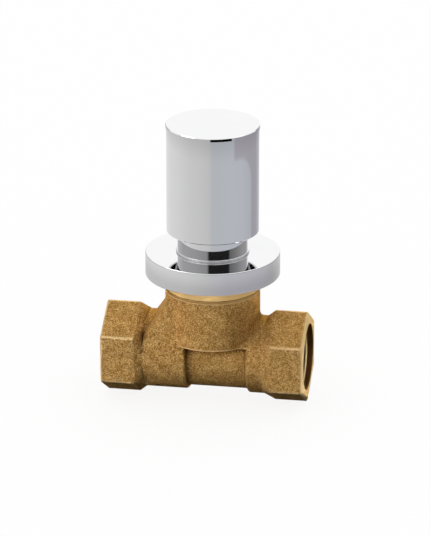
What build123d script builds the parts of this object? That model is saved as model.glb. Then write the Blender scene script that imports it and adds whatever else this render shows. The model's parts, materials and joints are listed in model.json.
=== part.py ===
from build123d import *

# Concealed screw-down stop valve: a cast brass globe body with two female pipe ends, a
# non-rising spindle headwork, a chromed sleeve and rosette, and a chromed cylindrical handle.
# Millimetres, +Z up the spindle. The origin is the centre of the inlet port's mouth, the pipe
# axis is X, and the water runs towards -X. The valve is drawn closed.

import os
from math import cos, hypot, pi, radians, sin

# Pipe ends
port_thread_radius = 13.22
port_thread_depth = 13.0
port_mouth_chamfer = 0.6
hex_across_flats = 33.2
hex_corner_radius = 1.2
hex_end_chamfer = 0.5
inlet_length = 38.4
inlet_hex_length = 13.0
outlet_length = 42.6
outlet_hex_length = 13.4
hex_shoulder_length = 3.4

# Cast body outside
neck_radius = 15.5
recess_radius = 14.0
recess_outlet_side = 8.5
recess_inlet_side = 15.3
cast_edge_radius = 1.2
crease_radius = 2.0
boss_radius = 18.8
boss_bottom = 7.0
collar_radius = 18.45
collar_bottom = 27.1
collar_groove_depth = 0.45
collar_groove_height = 0.6
body_top = 34.0
web_half_width = 15.3
web_draft = 5.0
web_slope = 55.6
web_slope_foot = 22.2
web_edge_radius = 3.0
web_outlet_reach = 26.4

# Water ways
body_wall = 2.9
passage_radius = 8.5
passage_drop = 3.0
partition_wall = 2.0
outlet_way_half_width = 9.0
outlet_way_bottom = 8.0
seat_bore_radius = 6.5
seat_ring_width = 2.0
seat_ring_rise = 2.0
seat_height = 11.0
chamber_radius = 14.5
bonnet_thread_bottom = 21.5

# Headwork
bonnet_thread_radius = 15.9
bonnet_bottom = 22.5
gasket_thickness = 1.5
gasket_radius = 18.4
bonnet_hex_across_flats = 34.0
bonnet_hex_chamfer = 0.8
rosette_seat = 40.8
sleeve_thread_height = 5.7
bonnet_neck_radius = 8.5
bonnet_top = 56.5
guide_radius = 9.5
guide_flat = 8.0
guide_top = 42.8

# Spindle
stem_radius = 5.0
spindle_bottom = 26.0
spindle_collar_radius = 7.2
spindle_collar_height = 2.0
friction_washer_thickness = 0.8
o_ring_heights = (47.0, 51.5)
o_ring_cord_radius = 0.86
circlip_radius = 7.2
circlip_thickness = 0.9
circlip_opening = 4.0
circlip_groove_radius = 4.2
spline_radius = 4.0
spline_depth = 0.35
spline_count = 20
spindle_top = 68.7

# Disc carrier
carrier_disc_radius = 10.0
carrier_disc_thickness = 2.5
carrier_cup_depth = 1.5
carrier_guide_length = 17.0
carrier_bore_floor = 4.0
washer_radius = 8.6
washer_thickness = 3.0
retaining_washer_radius = 4.6
retaining_washer_thickness = 0.7
washer_screw_radius = 2.0
washer_screw_length = 5.0
washer_screw_head_radius = 3.4
washer_screw_head_height = 1.5
screw_slot_width = 0.8

# Sleeve and rosette
sleeve_radius = 13.93
sleeve_bore_radius = 12.5
sleeve_bottom = 41.1
sleeve_top = 61.0
lip_radius = 14.5
lip_height = 1.4
lip_round = 0.5
rosette_radius = 26.6
rosette_height = 9.2
rosette_plate = 1.8
rosette_wall = 1.8
rosette_edge_round = 0.35

# Handle
handle_radius = 18.25
handle_bottom = 51.4
handle_chamfer = 0.3
handle_height = 42.6
handle_cavity_radius = 17.2
handle_cavity_height = 11.1
handle_web = 6.0
handle_upper_bore_radius = 16.3
cap_radius = 18.55
cap_thickness = 1.35
cap_bevel = 0.3
cap_spigot_height = 5.0
cap_spigot_wall = 1.6
insert_across_flats = 13.0
insert_drop = 2.4
insert_flange_radius = 8.4
insert_flange_thickness = 1.5
handle_screw_radius = 1.6
handle_screw_length = 8.6
handle_screw_head_radius = 3.8
handle_screw_head_height = 2.4
handle_screw_socket = 3.0

# Clearances
thread_clearance = 0.1
running_clearance = 0.05
slip_clearance = 0.12
collar_clearance = 0.3

# Places that follow from the sizes above
spindle_x = -inlet_length
outlet_x = spindle_x - outlet_length
collar_bottom_z = guide_top - friction_washer_thickness - spindle_collar_height
washer_top = seat_height + washer_thickness
carrier_bottom = washer_top - carrier_cup_depth
carrier_disc_top = carrier_bottom + carrier_cup_depth + carrier_disc_thickness
carrier_top = carrier_disc_top + carrier_guide_length
carrier_bore_bottom = carrier_disc_top + carrier_bore_floor
seat_floor = seat_height - seat_ring_rise
flange_bottom = body_top + gasket_thickness
lip_bottom = rosette_seat + rosette_plate
handle_top = handle_bottom + handle_height
web_bottom_z = handle_bottom + handle_cavity_height
web_top_z = web_bottom_z + handle_web
insert_top = web_top_z + insert_flange_thickness

spindle_axis = Axis((spindle_x, 0, 0), (0, 0, 1))
section_plane = Plane(origin=(spindle_x, 0, 0), x_dir=(1, 0, 0), z_dir=(0, -1, 0))


def level(height):
    """Horizontal plane centred on the spindle at a height."""
    return Plane(origin=(spindle_x, 0, height))


def across(x):
    """Plane square to the pipe axis at x, with its own y up."""
    return Plane(origin=(x, 0, 0), x_dir=(0, 1, 0), z_dir=(1, 0, 0))


def turned(points):
    """Solid of revolution about the spindle from (radius, height) corners."""
    with BuildPart() as solid:
        with BuildSketch(section_plane):
            with BuildLine():
                Polyline(*points, close=True)
            make_face()
        revolve(axis=spindle_axis)
    return solid.part


def turned_ring(outer_radius, inner_radius, bottom, top):
    """Plain ring about the spindle."""
    corners = [(inner_radius, bottom), (outer_radius, bottom), (outer_radius, top), (inner_radius, top)]
    return turned(corners)


def rounded_hexagon(plane, across_flats, corner_radius):
    """Hexagon on a plane with one corner up, its corners rounded."""
    with BuildSketch(plane) as outline:
        RegularPolygon(across_flats / 2, 6, major_radius=False, rotation=30)
        fillet(outline.vertices(), corner_radius)
    return outline.sketch


def toothed_outline(root_radius, tip_radius, count):
    """Closed zigzag of spline teeth, tips and roots in turn."""
    return [
        (radius * cos(angle), radius * sin(angle))
        for tooth in range(count)
        for radius, angle in (
            (tip_radius, 2 * pi * tooth / count),
            (root_radius, 2 * pi * (tooth + 0.5) / count),
        )
    ]


def hex_end(mouth_x, inward, length):
    """Hexagonal pipe end with its shoulder down to the round neck."""
    flat_end_x = mouth_x + inward * length
    neck_x = flat_end_x + inward * hex_shoulder_length
    with BuildPart() as end:
        outline = rounded_hexagon(across(mouth_x), hex_across_flats, hex_corner_radius)
        extrude(outline, amount=inward * length)
        mouth = end.faces().filter_by(Axis.X).sort_by(Axis.X)[0 if inward > 0 else -1]
        chamfer(mouth.edges(), hex_end_chamfer)
        loft(
            [
                rounded_hexagon(across(flat_end_x), hex_across_flats, hex_corner_radius),
                rounded_hexagon(across(neck_x), 2 * neck_radius, neck_radius - hex_corner_radius),
            ]
        )
    return end.part


# Web that carries the outlet way up from the pipe into the boss
slope_foot = (spindle_x - web_slope_foot, 0, neck_radius)
slope_normal = (-sin(radians(web_slope)), 0, cos(radians(web_slope)))
slope_plane = Plane(origin=slope_foot, z_dir=slope_normal)

with BuildPart() as outlet_web:
    with BuildSketch(Plane(origin=(spindle_x - web_outlet_reach / 2, 0, 0))):
        Rectangle(web_outlet_reach, 2 * web_half_width)
    extrude(amount=collar_bottom - cast_edge_radius, taper=web_draft)
    split(bisect_by=slope_plane, keep=Keep.BOTTOM)
    slope_face = outlet_web.faces().sort_by(Axis(slope_foot, slope_normal))[-1]
    side_edges = slope_face.edges().filter_by(lambda edge: abs(edge.center().Y) > web_half_width / 2)
    fillet(side_edges, web_edge_radius)


def is_boss_crease(edge):
    """Whether an edge is where the web or the pipe meets the boss's upright wall."""
    places = [edge.position_at(share) for share in (0, 0.5, 1)]
    on_wall = all(abs(hypot(place.X - spindle_x, place.Y) - boss_radius) < 0.02 for place in places)
    return on_wall and edge.geom_type in (GeomType.BSPLINE, GeomType.ELLIPSE)


def is_recess_end(edge):
    """Whether an edge is the outer rim of one of the recess's two upright ends."""
    box = edge.bounding_box()
    upright = box.max.X - box.min.X < 0.02
    at_end = min(abs(box.min.X - end_x) for end_x in (recess_outlet_x, recess_inlet_x)) < 0.02
    middle = edge.position_at(0.5)
    below_boss = box.min.Z < boss_bottom - 1
    return upright and at_end and below_boss and hypot(middle.Y, middle.Z) > neck_radius - 0.5


# Casting between the hexagons: pipe, web and boss, the recess cut under the boss, the collar
recess_outlet_x = spindle_x - recess_outlet_side
recess_inlet_x = spindle_x + recess_inlet_side
with BuildPart() as casting:
    with BuildSketch(across(outlet_x + outlet_hex_length)):
        Circle(neck_radius)
    extrude(amount=outlet_length + inlet_length - outlet_hex_length - inlet_hex_length)
    add(outlet_web.part)
    with BuildSketch(Plane(origin=(spindle_x, 0, boss_bottom), x_dir=(0, 1, 0), z_dir=(0, 0, 1))):
        Circle(boss_radius)
    extrude(amount=collar_bottom - boss_bottom)
    for side in (-1, 1):
        creases = casting.edges().filter_by(is_boss_crease)
        fillet(creases.filter_by(lambda edge: side * (edge.center().X - spindle_x) > 0), crease_radius)
    with BuildSketch(across(recess_outlet_x)):
        with Locations((0, boss_bottom)):
            Rectangle(3 * boss_radius, 2 * boss_radius, align=(Align.CENTER, Align.MAX))
        Circle(recess_radius, mode=Mode.SUBTRACT)
    extrude(amount=recess_inlet_x - recess_outlet_x, mode=Mode.SUBTRACT)
    fillet(casting.edges().filter_by(is_recess_end), cast_edge_radius)
    add(
        turned(
            [
                (0, collar_bottom),
                (collar_radius - collar_groove_depth, collar_bottom),
                (collar_radius - collar_groove_depth, collar_bottom + collar_groove_height),
                (collar_radius, collar_bottom + collar_groove_height),
                (collar_radius, body_top),
                (0, body_top),
            ]
        )
    )

# Way from the inlet thread to under the seat
with BuildPart() as inlet_way:
    with BuildSketch(Plane(origin=(spindle_x, 0, -passage_drop), x_dir=(0, 1, 0), z_dir=(1, 0, 0))):
        Circle(passage_radius)
    extrude(amount=inlet_length - port_thread_depth / 2)
    with Locations((spindle_x, 0, -passage_drop)):
        Sphere(passage_radius)

# Way from the chamber over the seat down to the outlet thread, a wall inside the web
with BuildPart() as outlet_way:
    way_right = seat_bore_radius + seat_ring_width + partition_wall
    way_left = outlet_length - port_thread_depth / 2
    with BuildSketch(Plane(origin=(spindle_x - (way_left + way_right) / 2, 0, -outlet_way_bottom))):
        Rectangle(way_left - way_right, 2 * outlet_way_half_width)
    extrude(amount=outlet_way_bottom + bonnet_thread_bottom)
    inner_slope = slope_plane.offset(-body_wall)
    split(bisect_by=inner_slope, keep=Keep.BOTTOM)
    fillet(outlet_way.edges().filter_by(Axis.X).group_by(Axis.Z)[0], outlet_way_bottom / 2)
    with BuildSketch(across(spindle_x - way_left)):
        Circle(outlet_way_half_width)
    extrude(amount=way_left - way_right - outlet_way_half_width)

# Body: the hexagons and the casting joined, then the ways, the chamber and the threads cut
with BuildPart() as valve_body:
    add(hex_end(0, -1, inlet_hex_length))
    add(hex_end(outlet_x, 1, outlet_hex_length))
    add(casting.part)
    add(inlet_way.part, mode=Mode.SUBTRACT)
    add(outlet_way.part, mode=Mode.SUBTRACT)
    add(
        turned(
            [
                (0, -passage_drop),
                (seat_bore_radius, -passage_drop),
                (seat_bore_radius, seat_height),
                (seat_bore_radius + seat_ring_width, seat_height),
                (seat_bore_radius + seat_ring_width, seat_floor),
                (chamber_radius, seat_floor),
                (chamber_radius, bonnet_thread_bottom),
                (bonnet_thread_radius + thread_clearance, bonnet_thread_bottom),
                (bonnet_thread_radius + thread_clearance, body_top),
                (0, body_top),
            ]
        ),
        mode=Mode.SUBTRACT,
    )
    for mouth_x, inward in ((0, -1), (outlet_x, 1)):
        with BuildSketch(across(mouth_x)):
            Circle(port_thread_radius)
        extrude(amount=inward * port_thread_depth, mode=Mode.SUBTRACT)
        at_mouth = valve_body.edges().filter_by(GeomType.CIRCLE).filter_by(
            lambda edge: abs(edge.center().X - mouth_x) < 0.01
        )
        chamfer(at_mouth.sort_by(SortBy.RADIUS)[0], port_mouth_chamfer)

# Gasket between the body and the bonnet's hexagon
bonnet_gasket = turned_ring(gasket_radius, bonnet_thread_radius + thread_clearance, body_top, flange_bottom)

# Bonnet: hexagon, thread down into the body, thread up for the sleeve, neck with the stem bore
with BuildPart() as bonnet:
    with BuildSketch(level(flange_bottom)):
        RegularPolygon(bonnet_hex_across_flats / 2, 6, major_radius=False)
    extrude(amount=rosette_seat - flange_bottom)
    chamfer(bonnet.edges().group_by(Axis.Z)[-1], bonnet_hex_chamfer)
    add(
        turned(
            [
                (0, bonnet_bottom),
                (bonnet_thread_radius, bonnet_bottom),
                (bonnet_thread_radius, flange_bottom),
                (sleeve_bore_radius - thread_clearance, flange_bottom),
                (sleeve_bore_radius - thread_clearance, rosette_seat + sleeve_thread_height),
                (bonnet_neck_radius, rosette_seat + sleeve_thread_height),
                (bonnet_neck_radius, bonnet_top),
                (0, bonnet_top),
            ]
        )
    )
    with BuildSketch(level(bonnet_bottom)):
        Circle(guide_radius + running_clearance)
        Rectangle(
            2 * (guide_flat + running_clearance),
            2 * (guide_radius + running_clearance),
            mode=Mode.INTERSECT,
        )
    extrude(amount=guide_top - bonnet_bottom, mode=Mode.SUBTRACT)
    with BuildSketch(level(guide_top)):
        Circle(stem_radius + running_clearance)
    extrude(amount=bonnet_top - guide_top, mode=Mode.SUBTRACT)

# Slippery washer that the spindle's collar pushes up against
friction_washer = turned_ring(
    spindle_collar_radius,
    stem_radius + collar_clearance,
    guide_top - friction_washer_thickness,
    guide_top,
)

# Spindle: thread, collar, stem with two seal grooves and a clip groove, splined end
groove_half = o_ring_cord_radius + running_clearance
groove_floor = stem_radius + running_clearance - 2 * groove_half
circlip_bottom = bonnet_top + collar_clearance
circlip_top = circlip_bottom + circlip_thickness
with BuildPart() as spindle:
    stem_profile = [(0, spindle_bottom), (stem_radius - thread_clearance, spindle_bottom)]
    stem_profile += [
        (stem_radius - thread_clearance, collar_bottom_z),
        (spindle_collar_radius, collar_bottom_z),
        (spindle_collar_radius, collar_bottom_z + spindle_collar_height),
        (stem_radius, collar_bottom_z + spindle_collar_height),
    ]
    for height in o_ring_heights:
        stem_profile += [
            (stem_radius, height - groove_half),
            (groove_floor, height - groove_half),
            (groove_floor, height + groove_half),
            (stem_radius, height + groove_half),
        ]
    stem_profile += [
        (stem_radius, circlip_bottom - running_clearance),
        (circlip_groove_radius, circlip_bottom - running_clearance),
        (circlip_groove_radius, circlip_top + running_clearance),
        (stem_radius, circlip_top + running_clearance),
        (stem_radius, circlip_top + circlip_thickness),
        (0, circlip_top + circlip_thickness),
    ]
    add(turned(stem_profile))
    with BuildSketch(level(circlip_top + circlip_thickness)):
        Polygon(*toothed_outline(spline_radius - spline_depth, spline_radius, spline_count), align=None)
    extrude(amount=spindle_top - circlip_top - circlip_thickness)
    with BuildSketch(level(spindle_top)):
        Circle(handle_screw_radius + running_clearance)
    extrude(amount=-handle_screw_length, mode=Mode.SUBTRACT)


def o_ring(height):
    """Rubber ring in a stem groove, just clear of the bonnet's bore."""
    with BuildPart() as ring:
        with BuildSketch(section_plane):
            with Locations((stem_radius + running_clearance - groove_half, height)):
                Circle(o_ring_cord_radius)
        revolve(axis=spindle_axis)
    return ring.part


# Clip that holds the spindle down on top of the bonnet
with BuildPart() as spindle_circlip:
    with BuildSketch(level(circlip_bottom)):
        Circle(circlip_radius)
        Circle(circlip_groove_radius + running_clearance, mode=Mode.SUBTRACT)
        with Locations((circlip_radius, 0)):
            Rectangle(2 * circlip_radius, circlip_opening, mode=Mode.SUBTRACT)
    extrude(amount=circlip_thickness)

# Disc carrier: cup for the washer, flatted guide, thread for the spindle
with BuildPart() as disc_carrier:
    add(
        turned(
            [
                (0, washer_top),
                (washer_radius + running_clearance, washer_top),
                (washer_radius + running_clearance, carrier_bottom),
                (carrier_disc_radius, carrier_bottom),
                (carrier_disc_radius, carrier_disc_top),
                (0, carrier_disc_top),
            ]
        )
    )
    with BuildSketch(level(carrier_disc_top)):
        Circle(guide_radius)
        Rectangle(2 * guide_flat, 2 * guide_radius, mode=Mode.INTERSECT)
    extrude(amount=carrier_guide_length)
    with BuildSketch(level(carrier_top)):
        Circle(stem_radius)
    extrude(amount=carrier_bore_bottom - carrier_top, mode=Mode.SUBTRACT)
    with BuildSketch(level(washer_top)):
        Circle(washer_screw_radius + running_clearance)
    extrude(amount=washer_screw_length, mode=Mode.SUBTRACT)

# Rubber washer that closes on the seat, its backing washer and screw
seat_washer = turned_ring(washer_radius, washer_screw_radius + running_clearance, seat_height, washer_top)
retaining_washer = turned_ring(
    retaining_washer_radius,
    washer_screw_radius + running_clearance,
    seat_height - retaining_washer_thickness,
    seat_height,
)

with BuildPart() as washer_screw:
    head_top = seat_height - retaining_washer_thickness
    head_bottom = head_top - washer_screw_head_height
    with BuildSketch(level(head_bottom)):
        Circle(washer_screw_head_radius)
    extrude(amount=washer_screw_head_height)
    fillet(washer_screw.edges().group_by(Axis.Z)[0], washer_screw_head_height / 3)
    with BuildSketch(level(head_top)):
        Circle(washer_screw_radius)
    extrude(amount=washer_top + washer_screw_length - running_clearance - head_top)
    with BuildSketch(level(head_bottom)):
        Rectangle(2 * washer_screw_head_radius, screw_slot_width)
    extrude(amount=washer_screw_head_height / 2, mode=Mode.SUBTRACT)

# Sleeve over the bonnet's neck, its lip clamping the rosette
with BuildPart() as sleeve:
    add(
        turned(
            [
                (sleeve_bore_radius, sleeve_bottom),
                (sleeve_radius, sleeve_bottom),
                (sleeve_radius, lip_bottom),
                (lip_radius, lip_bottom),
                (lip_radius, lip_bottom + lip_height),
                (sleeve_radius, lip_bottom + lip_height),
                (sleeve_radius, sleeve_top),
                (sleeve_bore_radius, sleeve_top),
            ]
        )
    )
    round_edges = sleeve.edges().filter_by(GeomType.CIRCLE)
    fillet(round_edges.filter_by(lambda edge: abs(edge.radius - lip_radius) < 0.01), lip_round)

# Rosette: a flat-topped dish, open at the back
with BuildPart() as rosette:
    rosette_bottom = lip_bottom - rosette_height
    add(
        turned(
            [
                (rosette_radius - rosette_wall, rosette_bottom),
                (rosette_radius, rosette_bottom),
                (rosette_radius, lip_bottom),
                (sleeve_radius + slip_clearance, lip_bottom),
                (sleeve_radius + slip_clearance, rosette_seat),
                (rosette_radius - rosette_wall, rosette_seat),
            ]
        )
    )
    fillet(
        rosette.edges().filter_by(GeomType.CIRCLE).group_by(Axis.Z)[-1].sort_by(SortBy.RADIUS)[-1],
        rosette_edge_round,
    )

# Splined bush between the spindle and the handle
with BuildPart() as handle_insert:
    insert_bottom = web_bottom_z - insert_drop
    with BuildSketch(level(insert_bottom)):
        RegularPolygon(insert_across_flats / 2, 6, major_radius=False)
    extrude(amount=web_top_z - insert_bottom)
    with BuildSketch(level(web_top_z)):
        Circle(insert_flange_radius)
    extrude(amount=insert_flange_thickness)
    with BuildSketch(level(insert_bottom)):
        Polygon(
            *toothed_outline(
                spline_radius - spline_depth + slip_clearance,
                spline_radius + slip_clearance,
                spline_count,
            ),
            align=None,
        )
    extrude(amount=spindle_top + slip_clearance - insert_bottom, mode=Mode.SUBTRACT)
    with BuildSketch(level(insert_top)):
        Circle(handle_screw_radius + slip_clearance)
    extrude(amount=spindle_top - insert_top, mode=Mode.SUBTRACT)

# Handle shell: a turned tube with a web that carries the bush
with BuildPart() as handle_shell:
    add(
        turned(
            [
                (handle_cavity_radius, handle_bottom),
                (handle_radius - handle_chamfer, handle_bottom),
                (handle_radius, handle_bottom + handle_chamfer),
                (handle_radius, handle_top),
                (handle_upper_bore_radius, handle_top),
                (handle_upper_bore_radius, web_top_z),
                (0, web_top_z),
                (0, web_bottom_z),
                (handle_cavity_radius, web_bottom_z),
            ]
        )
    )
    with BuildSketch(level(web_bottom_z)):
        RegularPolygon(insert_across_flats / 2 + running_clearance, 6, major_radius=False)
    extrude(amount=handle_web, mode=Mode.SUBTRACT)

# Screw that draws the handle down on the spindle, reached under the cap
with BuildPart() as handle_screw:
    with BuildSketch(level(insert_top)):
        Circle(handle_screw_head_radius)
    extrude(amount=handle_screw_head_height)
    fillet(handle_screw.edges().group_by(Axis.Z)[-1], handle_screw_head_height / 6)
    with BuildSketch(level(insert_top + handle_screw_head_height)):
        RegularPolygon(handle_screw_socket / 2, 6, major_radius=False)
    extrude(amount=-handle_screw_head_height / 2, mode=Mode.SUBTRACT)
    with BuildSketch(level(insert_top)):
        Circle(handle_screw_radius)
    extrude(amount=spindle_top - handle_screw_length + collar_clearance - insert_top)

# Cap pressed into the top of the handle
with BuildPart() as handle_cap:
    spigot_radius = handle_upper_bore_radius - running_clearance
    add(
        turned(
            [
                (0, handle_top),
                (spigot_radius - cap_spigot_wall, handle_top),
                (spigot_radius - cap_spigot_wall, handle_top - cap_spigot_height),
                (spigot_radius, handle_top - cap_spigot_height),
                (spigot_radius, handle_top),
                (cap_radius, handle_top),
                (cap_radius, handle_top + cap_thickness - cap_bevel),
                (cap_radius - cap_bevel, handle_top + cap_thickness),
                (0, handle_top + cap_thickness),
            ]
        )
    )

pieces = {
    "valve_body": valve_body.part,
    "bonnet_gasket": bonnet_gasket,
    "bonnet": bonnet.part,
    "friction_washer": friction_washer,
    "spindle": spindle.part,
    "spindle_o_ring_lower": o_ring(o_ring_heights[0]),
    "spindle_o_ring_upper": o_ring(o_ring_heights[1]),
    "spindle_circlip": spindle_circlip.part,
    "disc_carrier": disc_carrier.part,
    "seat_washer": seat_washer,
    "retaining_washer": retaining_washer,
    "washer_screw": washer_screw.part,
    "sleeve": sleeve.part,
    "rosette": rosette.part,
    "handle_insert": handle_insert.part,
    "handle_shell": handle_shell.part,
    "handle_screw": handle_screw.part,
    "handle_cap": handle_cap.part,
}
os.makedirs("parts", exist_ok=True)
for name, piece in pieces.items():
    piece.label = name
    export_step(piece, f"parts/{name}.step")
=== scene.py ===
"""Finish for a concealed shut-off valve: cast brass, chrome, pipe threads, a studio and its camera."""

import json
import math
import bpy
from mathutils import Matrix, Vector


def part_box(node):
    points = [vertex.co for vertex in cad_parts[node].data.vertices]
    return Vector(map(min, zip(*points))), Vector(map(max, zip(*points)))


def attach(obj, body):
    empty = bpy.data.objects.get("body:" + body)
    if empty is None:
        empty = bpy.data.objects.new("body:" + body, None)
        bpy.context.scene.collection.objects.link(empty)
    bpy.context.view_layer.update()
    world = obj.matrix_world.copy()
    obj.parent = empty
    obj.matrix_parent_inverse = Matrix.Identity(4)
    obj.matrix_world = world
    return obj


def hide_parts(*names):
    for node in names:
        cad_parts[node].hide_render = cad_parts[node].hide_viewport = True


bl_info = {
    "name": "Concealed Valve Finish",
    "version": (1, 0, 0),
    "blender": (4, 5, 0),
    "location": "3D View > Sidebar > Valve",
    "description": "Gives a concealed shut-off valve its brass, its chrome, its pipe threads and its studio",
    "category": "Object",
}

import bpy
from bpy.props import FloatProperty, FloatVectorProperty, IntProperty, PointerProperty
from bpy.types import Operator, Panel, PropertyGroup
from mathutils import Vector

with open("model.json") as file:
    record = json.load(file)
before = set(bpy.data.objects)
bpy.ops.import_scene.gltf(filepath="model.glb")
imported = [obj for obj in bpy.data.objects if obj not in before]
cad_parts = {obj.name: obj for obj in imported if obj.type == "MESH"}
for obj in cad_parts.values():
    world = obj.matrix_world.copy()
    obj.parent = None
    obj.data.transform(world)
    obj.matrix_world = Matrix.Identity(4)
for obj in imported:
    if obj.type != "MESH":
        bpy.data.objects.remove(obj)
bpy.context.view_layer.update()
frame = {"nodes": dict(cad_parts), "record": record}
NODES = frame["nodes"]
ROOT = "valve"
HANDLE = "handle"
THREADS = ("inlet_thread", "outlet_thread")
CHROME = ("handle_shell", "handle_cap", "sleeve", "rosette")
TURNED = {"turned_rosette": "rosette", "turned_sleeve": "sleeve", "turned_cap": "handle_cap"}

MILLIMETRE = 0.001
FULL_TURN = 2 * math.pi
# What every colour setting shares.
COLOUR = {"subtype": "COLOR", "size": 3, "min": 0, "max": 1}
BODY_LOW, BODY_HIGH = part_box("valve_body")
HANDLE_LOW, HANDLE_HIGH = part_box("handle_shell")
ROSETTE_LOW, ROSETTE_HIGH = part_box("rosette")
SLEEVE_LOW, SLEEVE_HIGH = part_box("sleeve")
CAP_LOW, CAP_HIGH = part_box("handle_cap")
SPINDLE_X = (HANDLE_LOW[0] + HANDLE_HIGH[0]) / 2
INLET_PORT, OUTLET_PORT = frame["record"]["mounts"][:2]
PORT_RADIUS = INLET_PORT["dims"]["r_mm"] * MILLIMETRE
PORT_LENGTH = INLET_PORT["dims"]["length_mm"] * MILLIMETRE

# Parts that stains, blotches and grains have in the cast skin's tone, and its three tones' places.
STAIN_SHARE, BLOTCH_SHARE, GRAIN_SHARE = 0.26, 0.24, 0.50
DARK_TONE, MIDDLE_TONE, RUBBED_TONE = 0.385, 0.50, 0.615
# Noise levels between which specks turn bright and pits dark, and how strongly both show.
SPECK_LEVELS = (0.60, 0.70)
PIT_LEVELS = (0.40, 0.29)
SPECK_COVER = 0.60
# Widths of a speck and of a dull patch in grains of sand, and how many blotches a stain is wide.
SPECK_WIDTH, PATCH_WIDTH, BLOTCHES_A_STAIN = 0.8, 4, 4
# Shares of a tone's strength left in a pit, in the groove, on dull or tarnished brass, in the painted shade
# between threads, under haze.
PIT_TONE, GROOVE_TONE, DULL_TONE = 0.6, 0.8, 0.82
TARNISHED_TONE, THREAD_ROOT_SHADE, HAZY_TONE = 0.72, 0.6, 0.96
# Painted shade in hollows and creases, partly the casting's dark patina there, by how open a place is, and
# how fast openness falls into a hollow.
HOLLOW_SHADE_TONES = ((0.20, (0.10, 0.055, 0.02)), (0.45, (0.50, 0.40, 0.28)), (0.80, 1.0))
HOLLOW_POWER = 1.5
# Wear on corners, the painted highlight along the hexagons' edges, the blotches' least part in both, and
# where rubbing reaches.
CORNER_WEAR = 16.0
HEXAGON_HIGHLIGHT = 1.4
LEAST_WEAR = 0.35
OPEN_AIR_LEVELS = (0.80, 0.96)
# Heights of the skin's blotches and grains and of the tool marks, as parts of the skin's relief.
BLOTCH_HEIGHT, GRAIN_HEIGHT, TOOL_MARK_HEIGHT = 0.6, 0.5, 0.025
# How far the cast skin's roughness varies, and how much less metallic than the rest the collar shades.
CAST_ROUGHNESS_SWING = 0.24
COLLAR_METAL_LOSS = 0.5
# Change of turned brass's roughness where it is clean, and what tarnish adds to it.
CLEAN_CHANGE, TARNISH_SWING = -0.06, 0.14
# How far outside a port's radius its wall still counts as bore.
BORE_MARGIN = 0.05 * MILLIMETRE
# How far outside a thread's crest its painted highlight stays full, and from where on it turns to painted
# shade.
CREST_HIGHLIGHT, CREST_SHADE = 0.14 * MILLIMETRE, 0.36 * MILLIMETRE
# The crests' least painted highlight, the roughness between them, and how much less they have.
CREST_COVER, ROOT_ROUGHNESS, CREST_POLISH = 0.6, 0.5, 0.22
# Depths of the tool marks on turned brass and of the grain on moulded pieces.
MARK_DEPTH, GRAIN_DEPTH = 0.02 * MILLIMETRE, 0.04 * MILLIMETRE
# Greys of steel, its least roughness and what scuffs add to it, and the width of a scuff.
STEEL_DARK, STEEL_LIGHT, STEEL_ROUGHNESS, STEEL_SWING = 0.42, 0.62, 0.24, 0.2
SCUFF_WIDTH = 0.8 * MILLIMETRE

# Widths of a thread's foot and corner roundings and its run-out, all as parts of its pitch.
THREAD_FOOT, THREAD_ROUNDING, THREAD_RUN_OUT = 0.94, 0.12, 1.1
# How deep the foot of a ridge is sunk into its port's wall.
THREAD_SUNK = 0.04 * MILLIMETRE
# Edges that turn by more than this stay sharp.
THREAD_SHARP, TURNED_SHARP = math.radians(35), math.radians(40)
# How near to each other points of a profile, and of a turned mesh, are one point.
SAME_PLACE, DOUBLES = 0.01 * MILLIMETRE, 0.002 * MILLIMETRE

# Tones round the tent: degrees from the front towards the inlet, and a grey or a colour.
HANDLE_PANEL_TONES = (
    (-180, 0.80),
    (-112, 0.71),
    (-85, 0.69),
    (-47, 0.62),
    (-16, 0.585),
    (0, 0.555),
    (8, (0.48, 0.505, 0.53)),
    (60, (0.490, 0.510, 0.545)),
    (86, (0.480, 0.500, 0.535)),
    (110, (0.445, 0.465, 0.495)),
)
HANDLE_WALL_TONES = (
    (60, (0.40, 0.385, 0.42)),
    (110, (0.375, 0.36, 0.395)),
    (138, (0.365, 0.355, 0.390)),
    (158, (0.455, 0.450, 0.470)),
    (180, 0.80),
)
ROSETTE_TONES = (
    (-180, 0.74),
    (-115, 0.73),
    (-70, 0.69),
    (-32, 0.64),
    (0, 0.56),
    (30, (0.50, 0.49, 0.53)),
    (98, (0.48, 0.475, 0.515)),
    (128, 0.47),
    (180, 0.74),
)
TABLE_TONES = ((-180, 0.80), (-60, 0.70), (20, 0.85), (100, 1.0), (180, 0.80))
FRONT_PANEL_TONE = 0.014
FRONT_TONES = (
    (-180, 1.0), (-162, 1.0), (-148, 0.58), (-124, 0.50), (-103, 0.42), (-49, 0.38), (-9, 0.30),
    (-2, FRONT_PANEL_TONE), (62, FRONT_PANEL_TONE),
    (67, 0.15), (99, 0.26), (120, 0.34), (144, 0.37), (156, 0.50), (168, 1.0), (180, 1.0),
)
LIP_TONES = ((-124, 1.0), (-69, 0.55), (-32, 0.26), (2, 0.15), (38, 0.25), (89, 0.26), (143, 0.32))
TENT_FOOT_TONE = 0.45
TENT_WHITE = 0.95
# Heights between which each card of the tent takes over from the one under it; two start at studio sizes.
TABLE_CARD_FULL = -0.165
ROSETTE_CARD_START = (-0.1225, -0.1205)
HANDLE_CARD_START = (-0.0985, -0.0978)
FRONT_CARD_FULL = 0.03
WHITE_START = (0.250, 0.280)
LID_START = (0.75, 0.95)
# Heights between which the handle's card darkens upwards and the rosette's downwards, and their shares.
HANDLE_SHADE = (-0.0480, -0.0375, 1.0, 0.82)
ROSETTE_SHADE = (-0.1120, -0.1020, 0.76, 0.98)
# The pale panel's jamb, the angle where its arch starts to come down, how far on it ends, its soft edge.
JAMB = (math.radians(60), math.radians(66))
ARCH_CROWN = math.radians(78)
ARCH_FALL = math.radians(40)
ARCH_EDGE = (0.94, 1.06)
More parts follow.
